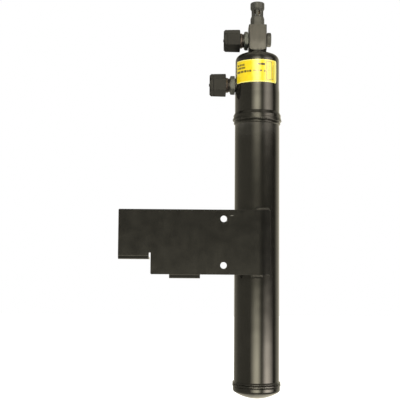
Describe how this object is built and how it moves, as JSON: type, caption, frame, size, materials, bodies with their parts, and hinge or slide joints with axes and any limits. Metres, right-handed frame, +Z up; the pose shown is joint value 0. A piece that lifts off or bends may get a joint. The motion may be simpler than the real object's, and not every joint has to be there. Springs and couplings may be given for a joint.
{
  "type": "receiver drier",
  "caption": "Upright receiver drier for vehicle air conditioning: welded steel bottle with capped side ports, a relief valve on its outlet block and a folded bolt-on bracket.",
  "frame": {"origin": "midway between the two bolt holes, on the bracket face that lies against the vehicle", "axes": "+Z up along the bottle's axis, +Y from the bolted face into the bracket and on to the bottle's axis, +X from the holes towards the bottle"},
  "size_m": [0.2283, 0.0706, 0.5631],
  "materials": {
    "black_paint": "gloss black paint over steel",
    "plated_steel": "satin, dulled plating",
    "valve_steel": "dark satin plating",
    "cap_plastic": "satin moulded plastic",
    "label_film": "printed film",
    "seal_rubber": "moulded",
    "brass": "turned",
    "spring_steel": "drawn wire",
    "inner_steel": "plain",
    "felt": "needled felt",
    "desiccant": "packed beads"
  },
  "bodies": {
    "housing": {"upper_shell": "black_paint", "lower_shell": "black_paint", "bottom_head": "black_paint", "upper_girth_weld": "black_paint", "lower_girth_weld": "black_paint", "outlet_block": "plated_steel", "block_weld": "black_paint", "outlet_fitting": "plated_steel", "outlet_cap": "cap_plastic", "inlet_fitting": "plated_steel", "inlet_weld": "black_paint", "inlet_cap": "cap_plastic", "port_plug": "valve_steel", "port_plug_seal": "seal_rubber", "relief_valve_body": "valve_steel", "relief_valve_seal": "seal_rubber", "relief_spring": "spring_steel", "relief_adjuster": "valve_steel", "bracket_upper_weld": "black_paint", "bracket_lower_weld": "black_paint", "label": "label_film", "pickup_tube": "inner_steel", "pickup_strainer": "inner_steel", "lower_plate": "inner_steel", "upper_plate": "inner_steel", "lower_pad": "felt", "upper_pad": "felt", "desiccant_bed": "desiccant", "bed_spring": "spring_steel", "mounting_bracket": "black_paint"},
    "poppet": {"relief_poppet": "brass", "relief_poppet_seat": "seal_rubber"}
  },
  "joints": [
    {"name": "poppet_lift", "type": "slide", "parent": "housing", "child": "poppet", "axis": [0, 0, 1], "range_m": [0, 0.003], "stiffness_N_per_m": 6800, "springref_m": -0.0001, "deforming": ["relief_spring"]}
  ]
}
